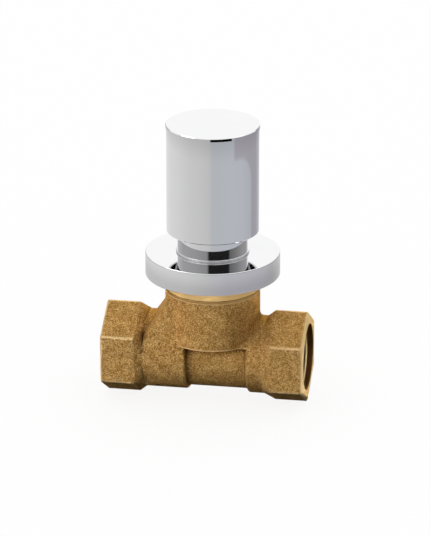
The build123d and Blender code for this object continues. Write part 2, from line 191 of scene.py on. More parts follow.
# Ends of the tent's front panel and of the lip's band, and the turn that one step of a wall covers.
PANEL_START, PANEL_END = math.radians(4), math.radians(56)
LIP_BAND_END = math.radians(150)
LIP_BAND_INSET = 0.01
WALL_STEP = math.radians(3)
# Corners of the tent's round lid and base.
LID_CORNERS = 120

# Each lamp's name, azimuth and elevation in degrees, distance and size in metres, and power in watts.
LAMPS = (
    ("key_lamp", -58, 24, 0.8, 0.30, 0.13),
    ("bounce_left_lamp", -60, -14, 0.6, 0.25, 2.2),
    ("bounce_side_lamp", 106, -12, 0.8, 0.50, 1.0),
    ("glint_lamp", 62, 5, 0.8, 0.20, 0.8),
    ("back_lamp", 186, 30, 0.8, 0.50, 1.1),
    ("rim_lamp", 168, -18, 0.8, 0.50, 0.6),
)
LAMP_TARGET = (SPINDLE_X, 0, 0.035)
# The camera's film height in mm, and its nearest sight.
FILM_HEIGHT, NEAREST_SEEN = 36.0, 0.05
# Tone of the floor's paper, how far the camera sees it whitened, and the tone of the world's light.
PAPER_TONE, PAPER_WHITENING, SKY_TONE = 0.92, 0.88, 1.05


class BrassFinish(PropertyGroup):
    """Colours and grain of the brass."""

    cast_color: FloatVectorProperty(
        name="Cast brass",
        description="Middle tone of the cast skin",
        default=(0.56, 0.31, 0.085),
        **COLOUR,
    )
    cast_dark: FloatVectorProperty(
        name="Cast brass, dark",
        description="Tone of the stains and hollows of the cast skin",
        default=(0.29, 0.135, 0.032),
        **COLOUR,
    )
    cast_light: FloatVectorProperty(
        name="Cast brass, rubbed",
        description="Tone of the rubbed grains and edges of the cast skin",
        default=(0.84, 0.55, 0.22),
        **COLOUR,
    )
    machined_color: FloatVectorProperty(
        name="Machined brass", description="Tone of turned brass", default=(0.98, 0.74, 0.38), **COLOUR
    )
    # Painted shade: the ports' bores and the roots of their threads are darkened to this tone.
    bore_shade_color: FloatVectorProperty(
        name="Bore",
        description="Tone of the oily brass between the threads of a port",
        default=(0.20, 0.095, 0.03),
        **COLOUR,
    )
    collar_color: FloatVectorProperty(
        name="Collar",
        description="Tone of the boss's machined collar",
        default=(0.95, 0.66, 0.29),
        **COLOUR,
    )
    collar_dark: FloatVectorProperty(
        name="Collar, dark",
        description="Tone of the duller patches on that collar",
        default=(0.84, 0.56, 0.22),
        **COLOUR,
    )
    gloss_tint: FloatVectorProperty(
        name="Gloss tint",
        description="Tint of the body's gloss at grazing angles",
        default=(0.85, 0.62, 0.34),
        **COLOUR,
    )
    sand_grain: FloatProperty(
        name="Sand grain",
        description="Width of one grain of the mould's sand",
        unit="LENGTH",
        default=0.0005,
    )
    stain_width: FloatProperty(
        name="Stain width",
        description="Width of the stains on the cast skin",
        unit="LENGTH",
        default=0.004,
    )
    skin_relief: FloatProperty(
        name="Skin relief", description="Depth of the cast skin's relief", unit="LENGTH", default=0.0009
    )
    hollow_reach: FloatProperty(
        name="Hollow reach",
        description="How near other faces are that darken a hollow",
        unit="LENGTH",
        default=0.006,
    )
    edge_round: FloatProperty(
        name="Edge round",
        description="Rounding that the casting's edges show",
        unit="LENGTH",
        default=0.0006,
    )
    wear_reach: FloatProperty(
        name="Wear reach",
        description="How far from a corner the skin is rubbed",
        unit="LENGTH",
        default=0.0012,
    )
    turning_feed: FloatProperty(
        name="Turning feed",
        description="Spacing of the tool marks on turned brass",
        unit="LENGTH",
        default=0.00022,
    )
    cast_roughness: FloatProperty(
        name="Cast roughness", description="Roughness of the cast skin", default=0.44
    )
    machined_roughness: FloatProperty(
        name="Machined roughness", description="Roughness of turned brass", default=0.36
    )
    collar_bottom: FloatProperty(
        name="Collar bottom",
        description="Height over the pipe axis at which the boss's machined collar starts",
        unit="LENGTH",
        default=0.02695,
    )
    groove_height: FloatProperty(
        name="Groove height",
        description="Height of the dark groove over the collar's bottom",
        unit="LENGTH",
        default=0.0009,
    )
    groove_width: FloatProperty(
        name="Groove width", description="Width of that groove", unit="LENGTH", default=0.00032
    )
    hexagon_length: FloatProperty(
        name="Hexagon length",
        description="Length of the flats of a pipe end",
        unit="LENGTH",
        default=0.0132,
    )
    hexagon_edge_radius: FloatProperty(
        name="Hexagon edges",
        description="Distance of the pipe ends' rounded edges from the pipe axis",
        unit="LENGTH",
        precision=5,
        default=0.01893,
    )
    # Painted highlight: how deep under the edges' distance the hexagons' edges are lightened.
    hexagon_highlight_depth: FloatProperty(
        name="Hexagon edge wear",
        description="How deep under that distance those edges are rubbed",
        unit="LENGTH",
        default=0.00013,
    )
    machined_end_depth: FloatProperty(
        name="Machined end",
        description="How far the facing cut of a pipe end reaches over its corners",
        unit="LENGTH",
        default=0.00055,
    )


class ChromeFinish(PropertyGroup):
    """Colour and polish of the chrome."""

    color: FloatVectorProperty(
        name="Chrome", description="Tone of polished chrome", default=(0.83, 0.83, 0.84), **COLOUR
    )
    polish: FloatProperty(name="Polish", description="Roughness of polished chrome", default=0.025)
    haze: FloatProperty(name="Haze", description="Roughness added where the polish is uneven", default=0.03)
    haze_width: FloatProperty(
        name="Haze width", description="Width of the hazy patches", unit="LENGTH", default=0.012
    )


class TurnedSizes(PropertyGroup):
    """Walls and roundings of the turned rosette, sleeve and cap; their reach comes from the frame."""

    steps: IntProperty(name="Steps", description="Straight steps in one turn of a turned piece", default=240)
    rosette_plate: FloatProperty(
        name="Rosette plate", description="Thickness of the rosette's top", unit="LENGTH", default=0.0018
    )
    rosette_wall: FloatProperty(
        name="Rosette wall", description="Thickness of the rosette's rim", unit="LENGTH", default=0.0018
    )
    rosette_round: FloatProperty(
        name="Rosette round",
        description="Rounding of the rosette's edges",
        unit="LENGTH",
        precision=5,
        default=0.00035,
    )
    sleeve_radius: FloatProperty(
        name="Sleeve radius",
        description="Outer radius of the sleeve",
        unit="LENGTH",
        precision=5,
        default=0.01393,
    )
    sleeve_bore: FloatProperty(
        name="Sleeve bore", description="Inner radius of the sleeve", unit="LENGTH", default=0.0125
    )
    sleeve_gap: FloatProperty(
        name="Sleeve gap",
        description="Gap between sleeve and rosette",
        unit="LENGTH",
        precision=5,
        default=0.00012,
    )
    lip_height: FloatProperty(
        name="Lip height", description="Height of the sleeve's lip", unit="LENGTH", default=0.0009
    )
    lip_round: FloatProperty(
        name="Lip round", description="Rounding of the lip's edges", unit="LENGTH", default=0.0004
    )
    cap_rim: FloatProperty(
        name="Cap rim",
        description="Thickness of the cap's rim",
        unit="LENGTH",
        precision=5,
        default=0.00135,
    )
    cap_bevel: FloatProperty(
        name="Cap bevel", description="Bevel round the cap's top", unit="LENGTH", default=0.0003
    )
    spigot_radius: FloatProperty(
        name="Spigot radius",
        description="Outer radius of the cap's spigot",
        unit="LENGTH",
        precision=5,
        default=0.01625,
    )
    spigot_wall: FloatProperty(
        name="Spigot wall", description="Wall of the cap's spigot", unit="LENGTH", default=0.0016
    )


class ThreadSizes(PropertyGroup):
    """Sizes of the pipe threads in the ports."""

    pitch: FloatProperty(
        name="Pitch",
        description="Spacing of the thread's ridges",
        unit="LENGTH",
        precision=6,
        default=0.001814,
    )
    depth: FloatProperty(
        name="Depth",
        description="Height of the thread's ridges",
        unit="LENGTH",
        precision=6,
        default=0.001162,
    )
    crest_share: FloatProperty(
        name="Crest", description="Width of a ridge's crest as a share of its foot", default=0.3
    )
    steps_a_turn: IntProperty(
        name="Steps", description="Straight steps in one turn of the thread", default=72
    )


class StudioSizes(PropertyGroup):
    """Camera, lamps and reflecting tent."""

    camera_distance: FloatProperty(
        name="Camera distance",
        description="From the camera to what it aims at",
        unit="LENGTH",
        default=1.6,
    )
    camera_azimuth: FloatProperty(
        name="Camera azimuth",
        description="Turn of the camera from the front towards the inlet",
        subtype="ANGLE",
        default=math.radians(9.73),
    )
    camera_elevation: FloatProperty(
        name="Camera elevation",
        description="Height of the camera over the horizon",
        subtype="ANGLE",
        default=math.radians(20.82),
    )
    focal_length: FloatProperty(
        name="Focal length", description="In mm on a 36 mm high frame", default=271.57
    )
    aim_right: FloatProperty(
        name="Aim right",
        description="How far to the right of the spindle the camera aims",
        unit="LENGTH",
        default=0.00088,
    )
    aim_height: FloatProperty(
        name="Aim height",
        description="Height over the pipe axis at which the camera aims",
        unit="LENGTH",
        default=0.03493,
    )
    tent_radius: FloatProperty(
        name="Tent radius",
        description="Radius of the tent that the chrome reflects",
        unit="LENGTH",
        default=0.4,
    )
    tent_bottom: FloatProperty(
        name="Tent bottom", description="Height of the tent's lower rim", unit="LENGTH", default=-0.45
    )
    tent_top: FloatProperty(
        name="Tent top", description="Height of the tent's upper rim", unit="LENGTH", default=1.25
    )
    tent_foot_top: FloatProperty(
        name="Tent foot",
        description="Height under which the tent shows in the chrome only",
        unit="LENGTH",
        default=-0.172,
    )
    cap_line: FloatProperty(
        name="Cap line",
        description="Height under which the tent's front panel is black to the cap",
        unit="LENGTH",
        default=-0.01,
    )
    arch_spring: FloatProperty(
        name="Arch spring",
        description="How far under the pipe axis the arch of the tent's pale panel springs",
        unit="LENGTH",
        default=0.0636,
    )
    arch_rise: FloatProperty(
        name="Arch rise", description="Height of that arch over its spring", unit="LENGTH", default=0.0150
    )
    tent_glow: FloatProperty(
        name="Tent glow", description="Strength of the tent's brightest cloth", default=1.11
    )
    lip_glow: FloatProperty(
        name="Lip glow", description="Strength of the band that the sleeve's lip reflects", default=4.6
    )
    lip_band_bottom: FloatProperty(
        name="Lip band bottom", description="Height of that band's lower rim", unit="LENGTH", default=0.48
    )
    lip_band_top: FloatProperty(
        name="Lip band top", description="Height of that band's upper rim", unit="LENGTH", default=0.777
    )
    floor_size: FloatProperty(
        name="Floor size", description="Side of the square floor", unit="LENGTH", default=6.0
    )


class ValveSettings(PropertyGroup):
    """All that can be changed on the valve's finish."""

    brass: PointerProperty(type=BrassFinish)
    chrome: PointerProperty(type=ChromeFinish)
    turned: PointerProperty(type=TurnedSizes)
    thread: PointerProperty(type=ThreadSizes)
    studio: PointerProperty(type=StudioSizes)


class NodeTree:
    """Short way to build one material's nodes."""

    def __init__(self, tree):
        self.nodes = tree.nodes
        self.links = tree.links

    def fill(self, node, inputs):
        """Sets a node's inputs to values or to other nodes' sockets."""
        for name, value in inputs.items():
            if isinstance(value, bpy.types.NodeSocket):
                self.links.new(value, node.inputs[name])
            else:
                node.inputs[name].default_value = value

    def add(self, kind, inputs=None, **settings):
        """Adds a node, sets its properties and then fills its inputs."""
        node = self.nodes.new(kind)
        for name, value in settings.items():
            setattr(node, name, value)
        self.fill(node, inputs or {})
        return node

    def math(self, operation, first, second=0.0, clamp=False):
        """Output of one sum on two values or sockets."""
        inputs = {0: first, 1: second}
        return self.add("ShaderNodeMath", inputs, operation=operation, use_clamp=clamp).outputs[0]

    def times(self, first, second, clamp=False):
        """One value or socket times another."""
        return self.math("MULTIPLY", first, second, clamp)

    def total(self, *shares):
        """Sum of sockets, each times its share."""
        parts = [self.times(socket, share) for socket, share in shares]
        result = parts[0]
        for part in parts[1:]:
            result = self.math("ADD", result, part)
        return result

    def varied(self, base, noise, swing):
        """Base raised by a noise, by up to the swing."""
        return self.math("ADD", base, self.times(noise, swing))

    def rise(self, value, low, high, start=0.0, end=1.0):
        """Goes from start to end as the value goes from low to high."""
        return self.add("ShaderNodeMapRange", {0: value, 1: low, 2: high, 3: start, 4: end}).outputs[0]

    def mix(self, factor, first, second, blend="MIX"):
        """Colour between two colours."""
        inputs = {0: factor, 6: first, 7: second}
        return self.add("ShaderNodeMix", inputs, data_type="RGBA", blend_type=blend).outputs[2]

    def mix_numbers(self, factor, first, second):
        """Number between two numbers."""
        return self.add("ShaderNodeMix", {0: factor, 2: first, 3: second}).outputs[0]

    def scaled(self, colour, amount):
        """Colour times a number."""
        node = self.add("ShaderNodeVectorMath", {0: colour, "Scale": amount}, operation="SCALE")
        return node.outputs[0]

    def ramp(self, factor, stops):
        """Colour ramp through (place, grey or colour) stops."""
        node = self.add("ShaderNodeValToRGB", {0: factor})
        elements = node.color_ramp.elements
        while len(elements) < len(stops):
            elements.new(1.0)
        for element, (place, colour) in zip(elements, stops):
            element.position = place
            element.color = opaque(colour)
        return node.outputs["Color"]

    def noise(self, vector, width, detail=2.0, roughness=0.5):
        """Noise whose features are about that wide."""
        inputs = {"Vector": vector, "Scale": 1.0 / width, "Detail": detail, "Roughness": roughness}
        return self.add("ShaderNodeTexNoise", inputs).outputs[0]

    def rounded(self, radius, samples):
        """Normal that rounds off the edges it is near."""
        return self.add("ShaderNodeBevel", {"Radius": radius}, samples=samples).outputs[0]

    def bump(self, height, distance, strength=1.0, normal=None):
        """Normal bent by a height, from the surface's own normal unless one is given."""
        inputs = {"Height": height, "Distance": distance, "Strength": strength}
        if normal is not None:
            inputs["Normal"] = normal
        return self.add("ShaderNodeBump", inputs).outputs[0]

    def glow(self, colour, strength):
        """Makes the whole material shine with a colour."""
        light = self.add("ShaderNodeEmission", {"Color": colour, "Strength": strength})
        self.add("ShaderNodeOutputMaterial", {"Surface": light.outputs[0]})


def opaque(colour):
    """Four-part colour from a grey level or three parts."""
    if isinstance(colour, (int, float)):
        return (colour, colour, colour, 1.0)
    return (*colour, 1.0)


def dimmed(colour, share):
    """Four-part colour at a share of its strength."""
    return opaque(tuple(share * part for part in colour))


def new_material(name):
    """Material with only a Principled shader and its output, and the tree to build on."""
    material = bpy.data.materials.new(name)
    material.use_nodes = True
    tree = NodeTree(material.node_tree)
    shader = material.node_tree.nodes["Principled BSDF"]
    return material, tree, shader


def bare_material(name):
    """Material with no node yet, and the tree to build on."""
    material = bpy.data.materials.new(name)
    material.use_nodes = True
    material.node_tree.nodes.clear()
    return material, NodeTree(material.node_tree)


def object_place(tree):
    """Object coordinates as a vector and as its three parts."""
    place = tree.add("ShaderNodeTexCoord").outputs["Object"]
    parts = tree.add("ShaderNodeSeparateXYZ", {0: place}).outputs
    return place, parts


def pipe_distance(tree, y, z):
    """Distance from the pipe axis."""
    return tree.math("SQRT", tree.math("ADD", tree.times(y, y), tree.times(z, z)))


def tool_marks(tree, along, brass):
    """Wave with one crest for each step of the lathe's tool."""
    return tree.math("SINE", tree.times(along, FULL_TURN / brass.turning_feed))


def cast_skin(tree, place, brass):
    """Sand-cast skin with bright specks and dark pits, and the blotches and grains that it is made of."""
    stains = tree.noise(place, brass.stain_width, detail=4.0, roughness=0.6)
    blotches = tree.noise(place, brass.stain_width / BLOTCHES_A_STAIN, detail=3.0, roughness=0.65)
    grains = tree.noise(place, brass.sand_grain, detail=2.0, roughness=0.7)
    tone = tree.total((stains, STAIN_SHARE), (blotches, BLOTCH_SHARE), (grains, GRAIN_SHARE))
    tones = (
        (DARK_TONE, tuple(brass.cast_dark)),
        (MIDDLE_TONE, tuple(brass.cast_color)),
        (RUBBED_TONE, tuple(brass.cast_light)),
    )
    skin = tree.ramp(tone, tones)
    specks = tree.noise(place, SPECK_WIDTH * brass.sand_grain, detail=1.0, roughness=0.4)
    bright_speck = tree.times(tree.rise(specks, *SPECK_LEVELS), SPECK_COVER)
    pit = tree.times(tree.rise(specks, *PIT_LEVELS), SPECK_COVER)
    skin = tree.mix(bright_speck, skin, opaque(brass.machined_color))
    skin = tree.mix(pit, skin, dimmed(brass.cast_dark, PIT_TONE))
    return skin, blotches, grains


def painted_shade_in_hollows(tree, skin, brass):
    """The skin with painted shade in its hollows and creases, partly dark patina, and how open each place
    is.
    """
    openness = tree.add("ShaderNodeAmbientOcclusion", {"Distance": brass.hollow_reach}, samples=8)
    openness = tree.math("POWER", openness.outputs["AO"], HOLLOW_POWER)
    return tree.mix(1.0, skin, tree.ramp(openness, HOLLOW_SHADE_TONES), blend="MULTIPLY"), openness


def edge_wear_and_highlight(tree, x, pipe_radius, openness, blotches, brass):
    """How far corners in open air are rubbed bright, and a painted highlight along the hexagons' edges,
    broken up like wear.
    """
    corner = tree.rounded(brass.wear_reach, samples=8)
    flat = tree.add("ShaderNodeNewGeometry").outputs["Normal"]
    likeness = tree.add("ShaderNodeVectorMath", {0: corner, 1: flat}, operation="DOT_PRODUCT")
    bend = tree.math("SUBTRACT", 1.0, likeness.outputs["Value"])
    wear = tree.times(bend, CORNER_WEAR, clamp=True)
    wear = tree.times(wear, tree.rise(openness, *OPEN_AIR_LEVELS))
    wear = tree.times(wear, tree.math("ADD", LEAST_WEAR, blotches))
    # Painted highlight along the hexagons' edges, where their rounded corners reach furthest out.
    on_inlet_hexagon = tree.math("GREATER_THAN", x, BODY_HIGH[0] - brass.hexagon_length)
    on_outlet_hexagon = tree.math("LESS_THAN", x, BODY_LOW[0] + brass.hexagon_length)
    on_hexagon = tree.math("MAXIMUM", on_inlet_hexagon, on_outlet_hexagon)
    edge = brass.hexagon_edge_radius
    at_edge = tree.rise(pipe_radius, edge - brass.hexagon_highlight_depth, edge)
    hexagon_highlight_and_wear = tree.times(tree.times(at_edge, on_hexagon), HEXAGON_HIGHLIGHT)
    return tree.math("MAXIMUM", wear, tree.times(hexagon_highlight_and_wear, blotches, clamp=True))


def machined_places(tree, x, z, pipe_radius, brass):
    """Where the body is machined: on its collar, in its bores, and anywhere, its end faces too."""
    on_collar = tree.math("GREATER_THAN", z, brass.collar_bottom)
    on_inlet_face = tree.math("GREATER_THAN", x, BODY_HIGH[0] - brass.machined_end_depth)
    on_outlet_face = tree.math("LESS_THAN", x, BODY_LOW[0] + brass.machined_end_depth)
    in_bore = tree.math("LESS_THAN", pipe_radius, PORT_RADIUS + BORE_MARGIN)
    anywhere = tree.math("MAXIMUM", on_collar, tree.math("MAXIMUM", on_inlet_face, on_outlet_face))
    anywhere = tree.math("MAXIMUM", anywhere, in_bore)
    return on_collar, in_bore, anywhere


def cast_brass(brass):
    """Sand-cast brass skin with painted shade in its hollows and bores and a painted highlight on the
    hexagons' edges; the collar and the end faces are machined bright.
    """
    material, tree, shader = new_material("cast_brass")
    place, (x, y, z) = object_place(tree)
    pipe_radius = pipe_distance(tree, y, z)
    skin, blotches, grains = cast_skin(tree, place, brass)
    # Painted shade in the hollows and creases, partly dark patina.
    skin, openness = painted_shade_in_hollows(tree, skin, brass)
    # Rubbed corners, and the painted highlight on the hexagons' edges.
    wear = edge_wear_and_highlight(tree, x, pipe_radius, openness, blotches, brass)
    rubbed = tree.mix(wear, skin, opaque(brass.machined_color))

    on_collar, in_bore, machined = machined_places(tree, x, z, pipe_radius, brass)
    patches = tree.noise(place, PATCH_WIDTH * brass.sand_grain, detail=3.0)
    bright = tree.mix(patches, dimmed(brass.machined_color, DULL_TONE), opaque(brass.machined_color))
    collar_gold = tree.mix(patches, opaque(brass.collar_dark), opaque(brass.collar_color))
    groove_inputs = {0: z, 1: brass.collar_bottom + brass.groove_height, 2: brass.groove_width / 2}
    groove = tree.add("ShaderNodeMath", groove_inputs, operation="COMPARE").outputs[0]
    colour = tree.mix(machined, rubbed, bright)
    # Painted shade: the bores are darkened.
    colour = tree.mix(in_bore, colour, opaque(brass.bore_shade_color))
    colour = tree.mix(on_collar, colour, collar_gold)
    colour = tree.mix(groove, colour, dimmed(brass.cast_dark, GROOVE_TONE))

    sand_height = tree.total((blotches, BLOTCH_HEIGHT), (grains, GRAIN_HEIGHT))
    marks_height = tree.times(tool_marks(tree, tree.math("ADD", pipe_radius, z), brass), TOOL_MARK_HEIGHT)
    height = tree.mix_numbers(machined, sand_height, marks_height)
    least_roughness = brass.cast_roughness - CAST_ROUGHNESS_SWING / 2
    sand_roughness = tree.varied(least_roughness, blotches, CAST_ROUGHNESS_SWING)
    rounded = tree.rounded(brass.edge_round, samples=6)
    tree.fill(
        shader,
        {
            "Base Color": colour,
            "Roughness": tree.mix_numbers(machined, sand_roughness, brass.machined_roughness),
            "Normal": tree.bump(height, brass.skin_relief, normal=rounded),
            "Metallic": tree.math("SUBTRACT", 1.0, tree.times(on_collar, COLLAR_METAL_LOSS)),
            "Specular Tint": opaque(brass.gloss_tint),
        },
    )
    return material


def turned_brass(brass):
    """Brass turned on a lathe, with fine tool marks and a little tarnish."""
    material, tree, shader = new_material("turned_brass")
    place, (_, _, z) = object_place(tree)
    tarnish = tree.noise(place, brass.stain_width, detail=3.0)
    tarnished = dimmed(brass.machined_color, TARNISHED_TONE)
    marks = tool_marks(tree, z, brass)
    tree.fill(
        shader,
        {
            "Base Color": tree.mix(tarnish, tarnished, opaque(brass.machined_color)),
            "Roughness": tree.varied(brass.machined_roughness + CLEAN_CHANGE, tarnish, TARNISH_SWING),
            "Normal": tree.bump(marks, MARK_DEPTH, strength=0.2),
            "Metallic": 1.0,
        },
    )
    return material


def thread_brass(brass, thread):
    """Cut thread, with a painted highlight on its crests and painted shade between them."""
    material, tree, shader = new_material("thread_brass")
    place, (_, y, z) = object_place(tree)
    crest_radius = PORT_RADIUS - thread.depth
    distance = pipe_distance(tree, y, z)
    crest = tree.rise(distance, crest_radius + CREST_HIGHLIGHT, crest_radius + CREST_SHADE, 1.0, 0.0)
    smears = tree.noise(place, brass.stain_width / BLOTCHES_A_STAIN, detail=3.0)
    # Painted highlight on the crests, broken up by smears.
    rubbed = tree.times(crest, tree.math("ADD", CREST_COVER, smears), clamp=True)
    # Painted shade between the threads.
    oily = dimmed(brass.bore_shade_color, THREAD_ROOT_SHADE)
    tree.fill(
        shader,
        {
            "Base Color": tree.mix(rubbed, oily, opaque(brass.machined_color)),
            "Roughness": tree.math("SUBTRACT", ROOT_ROUGHNESS, tree.times(rubbed, CREST_POLISH)),
            "Metallic": 1.0,
        },
    )
    return material


def polished_chrome(chrome):
    """Chrome plate with a faint uneven haze in its polish."""
    material, tree, shader = new_material("polished_chrome")
    place, _ = object_place(tree)
    haze = tree.noise(place, chrome.haze_width, detail=4.0, roughness=0.6)
    tree.fill(
        shader,
        {
            "Base Color": tree.mix(haze, dimmed(chrome.color, HAZY_TONE), opaque(chrome.color)),
            "Roughness": tree.varied(chrome.polish, haze, chrome.haze),
            "Metallic": 1.0,
        },
    )
    return material


def plain_steel():
    """Steel of screws and clips, lightly brushed."""
    material, tree, shader = new_material("plain_steel")
    place, _ = object_place(tree)
    scuffs = tree.noise(place, SCUFF_WIDTH, detail=4.0)
    tree.fill(
        shader,
        {
            "Base Color": tree.mix(scuffs, opaque(STEEL_DARK), opaque(STEEL_LIGHT)),
            "Roughness": tree.varied(STEEL_ROUGHNESS, scuffs, STEEL_SWING),
            "Metallic": 1.0,
        },
    )
    return material


def moulded(name, dark, light, roughness, grain):
    """Rubber, fibre or plastic: two close tones and a fine grain."""
    material, tree, shader = new_material(name)
    place, _ = object_place(tree)
    mottle = tree.noise(place, grain, detail=3.0)
    tree.fill(
        shader,
        {
            "Base Color": tree.mix(mottle, opaque(dark), opaque(light)),
            "Roughness": roughness,
            "Normal": tree.bump(mottle, GRAIN_DEPTH, strength=0.3),
        },
    )
    return material


def paint(node_names, material):
    """Gives CAD nodes one material."""
    for name in node_names:
        slots = NODES[name].data.materials
        slots.clear()
        slots.append(material)


def deselect_all():
    """Nothing selected, in object mode."""
    bpy.ops.object.select_all(action="DESELECT")


def select_vertices(mesh, chosen):
    """In edit mode, selects only the vertices for which chosen(place) is true."""
    bpy.ops.mesh.select_mode(type="VERT")
    bpy.ops.mesh.select_all(action="DESELECT")
    bpy.ops.object.mode_set(mode="OBJECT")
    for vertex in mesh.vertices:
        vertex.select = chosen(vertex.co)
    bpy.ops.object.mode_set(mode="EDIT")


def set_origin_to_world(piece):
    """Puts a piece's place into its mesh, so that its object sits at the origin."""
    deselect_all()
    piece.select_set(True)
    bpy.context.view_layer.objects.active = piece
    bpy.ops.object.transform_apply(location=True, rotation=True, scale=True)


def start_point(name, place):
    """New object in edit mode with a single vertex, all of it selected, to extrude a profile from."""
    deselect_all()
    bpy.ops.mesh.primitive_plane_add(size=1.0, location=(0, 0, 0))
    piece = bpy.context.active_object
    piece.name = name
    bpy.ops.object.mode_set(mode="EDIT")
    bpy.ops.mesh.select_all(action="SELECT")
    bpy.ops.mesh.merge(type="CENTER")
    bpy.ops.transform.translate(value=place)
    return piece


def thread_ridge(name, port, sizes):
    """Helical ridge of a pipe thread inside one port, from just inside its mouth to its end."""
    mouth_x = port["pos_m"][0]
    inward = -port["axis"][0]
    foot = THREAD_FOOT * sizes.pitch
    height = sizes.depth + THREAD_SUNK
    deselect_all()
    bpy.ops.mesh.primitive_plane_add(size=1.0, location=(mouth_x + inward * foot / 2, 0, 0))
    ridge = bpy.context.active_object
    ridge.name = name
    bpy.ops.object.mode_set(mode="EDIT")
    bpy.ops.transform.rotate(value=math.pi / 2, orient_axis="X", center_override=ridge.location)
    bpy.ops.transform.resize(value=(foot, 1, height), center_override=ridge.location)
    bpy.ops.transform.translate(value=(0, 0, PORT_RADIUS + THREAD_SUNK - height / 2))
    select_vertices(ridge.data, lambda place: place.z < PORT_RADIUS - sizes.depth / 2)
    bpy.ops.transform.resize(value=(sizes.crest_share, 1, 1), center_override=(ridge.location.x, 0, 0))
    bpy.ops.mesh.bevel(offset=THREAD_ROUNDING * sizes.pitch, segments=2, affect="VERTICES")
    bpy.ops.mesh.select_all(action="SELECT")
    bpy.ops.mesh.delete(type="ONLY_FACE")
    bpy.ops.object.mode_set(mode="OBJECT")
    turns = (PORT_LENGTH - THREAD_RUN_OUT * sizes.pitch) / sizes.pitch
    screw = ridge.modifiers.new("helix", "SCREW")
    screw.axis = "X"
    screw.angle = FULL_TURN * turns
    screw.screw_offset = inward * sizes.pitch * turns
    screw.steps = int(sizes.steps_a_turn * turns)
    screw.render_steps = screw.steps
    screw.use_smooth_shade = True
    bpy.ops.object.modifier_apply(modifier=screw.name)
    bpy.ops.object.mode_set(mode="EDIT")
    bpy.ops.mesh.select_all(action="SELECT")
    bpy.ops.mesh.fill_holes(sides=0)
    bpy.ops.mesh.select_all(action="SELECT")
    bpy.ops.mesh.normals_make_consistent(inside=False)
    bpy.ops.object.mode_set(mode="OBJECT")
    bpy.ops.object.shade_smooth_by_angle(angle=THREAD_SHARP)
    set_origin_to_world(ridge)
    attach(ridge, ROOT)
    return ridge


def turned_piece(name, corners, roundings, steps):
    """Piece turned about the spindle from (radius, height) corners; a profile off the axis is closed.

    Each rounding is a corner's radius and height, the rounding's size and its segments.
    """
    path = list(corners)
    if corners[0][0] > 0:
        path.append(corners[0])
    piece = start_point(name, (SPINDLE_X + path[0][0], 0, path[0][1]))
    for (radius, height), (next_radius, next_height) in zip(path, path[1:]):
        move = (next_radius - radius, 0, next_height - height)
        bpy.ops.mesh.extrude_vertices_move(TRANSFORM_OT_translate={"value": move})
    bpy.ops.mesh.select_all(action="SELECT")
    bpy.ops.mesh.remove_doubles(threshold=SAME_PLACE)
    for radius, height, size, segments in roundings:
        corner = Vector((SPINDLE_X + radius, 0, height))
        select_vertices(piece.data, lambda place: (place - corner).length < SAME_PLACE)
        bpy.ops.mesh.bevel(offset=size, segments=segments, affect="VERTICES")
    bpy.ops.mesh.select_all(action="SELECT")
    bpy.ops.mesh.spin(steps=steps, angle=FULL_TURN, center=(SPINDLE_X, 0, 0), axis=(0, 0, 1))
    bpy.ops.mesh.select_all(action="SELECT")
    bpy.ops.mesh.remove_doubles(threshold=DOUBLES)
    bpy.ops.mesh.normals_make_consistent(inside=False)
    bpy.ops.object.mode_set(mode="OBJECT")
    bpy.ops.object.shade_smooth_by_angle(angle=TURNED_SHARP)
    weighted = piece.modifiers.new("flat_faces_lead", "WEIGHTED_NORMAL")
    weighted.keep_sharp = True
    weighted.weight = 100
    bpy.ops.object.modifier_apply(modifier=weighted.name)
    return piece


def turned_rosette(sizes):
    """Flat-topped dish, open at the back, with the sleeve's hole in its top."""
    radius = (ROSETTE_HIGH[0] - ROSETTE_LOW[0]) / 2
    bottom, top = ROSETTE_LOW[2], ROSETTE_HIGH[2]
    hole = sizes.sleeve_radius + sizes.sleeve_gap
    inside = radius - sizes.rosette_wall
    under = top - sizes.rosette_plate
    rim = ((inside, bottom), (radius, bottom), (radius, top))
    corners = (*rim, (hole, top), (hole, under), (inside, under))
    edge = sizes.rosette_round
    roundings = ((radius, top, edge, 4), (radius, bottom, edge, 3), (inside, bottom, edge, 3))
    return turned_piece("turned_rosette", corners, roundings, sizes.steps)


def turned_sleeve(sizes):
    """Tube whose lip stands on the rosette."""
    bottom, top = SLEEVE_LOW[2], SLEEVE_HIGH[2]
    lip_radius = (SLEEVE_HIGH[0] - SLEEVE_LOW[0]) / 2
    lip_bottom = ROSETTE_HIGH[2]
    lip_top = lip_bottom + sizes.lip_height
    corners = (
        (sizes.sleeve_bore, bottom),
        (sizes.sleeve_radius, bottom),
        (sizes.sleeve_radius, lip_bottom),
        (lip_radius, lip_bottom),
        (lip_radius, lip_top),
        (sizes.sleeve_radius, lip_top),
        (sizes.sleeve_radius, top),
        (sizes.sleeve_bore, top),
    )
    edge = sizes.lip_round
    roundings = (
        (lip_radius, lip_bottom, edge, 5),
        (lip_radius, lip_top, edge, 5),
        (sizes.sleeve_radius, top, edge, 3),
    )
    return turned_piece("turned_sleeve", corners, roundings, sizes.steps)


def turned_cap(sizes):
    """Disc with a bevelled rim, and the spigot that holds it in the handle."""
    radius = (CAP_HIGH[0] - CAP_LOW[0]) / 2
    bottom, top = CAP_LOW[2], CAP_HIGH[2]
    under = top - sizes.cap_rim
    spigot_inside = sizes.spigot_radius - sizes.spigot_wall
    corners = (
        (0, under),
        (spigot_inside, under),
        (spigot_inside, bottom),
        (sizes.spigot_radius, bottom),
        (sizes.spigot_radius, under),
        (radius, under),
        (radius, top),
        (0, top),
    )
    return turned_piece("turned_cap", corners, ((radius, top, sizes.cap_bevel, 1),), sizes.steps)


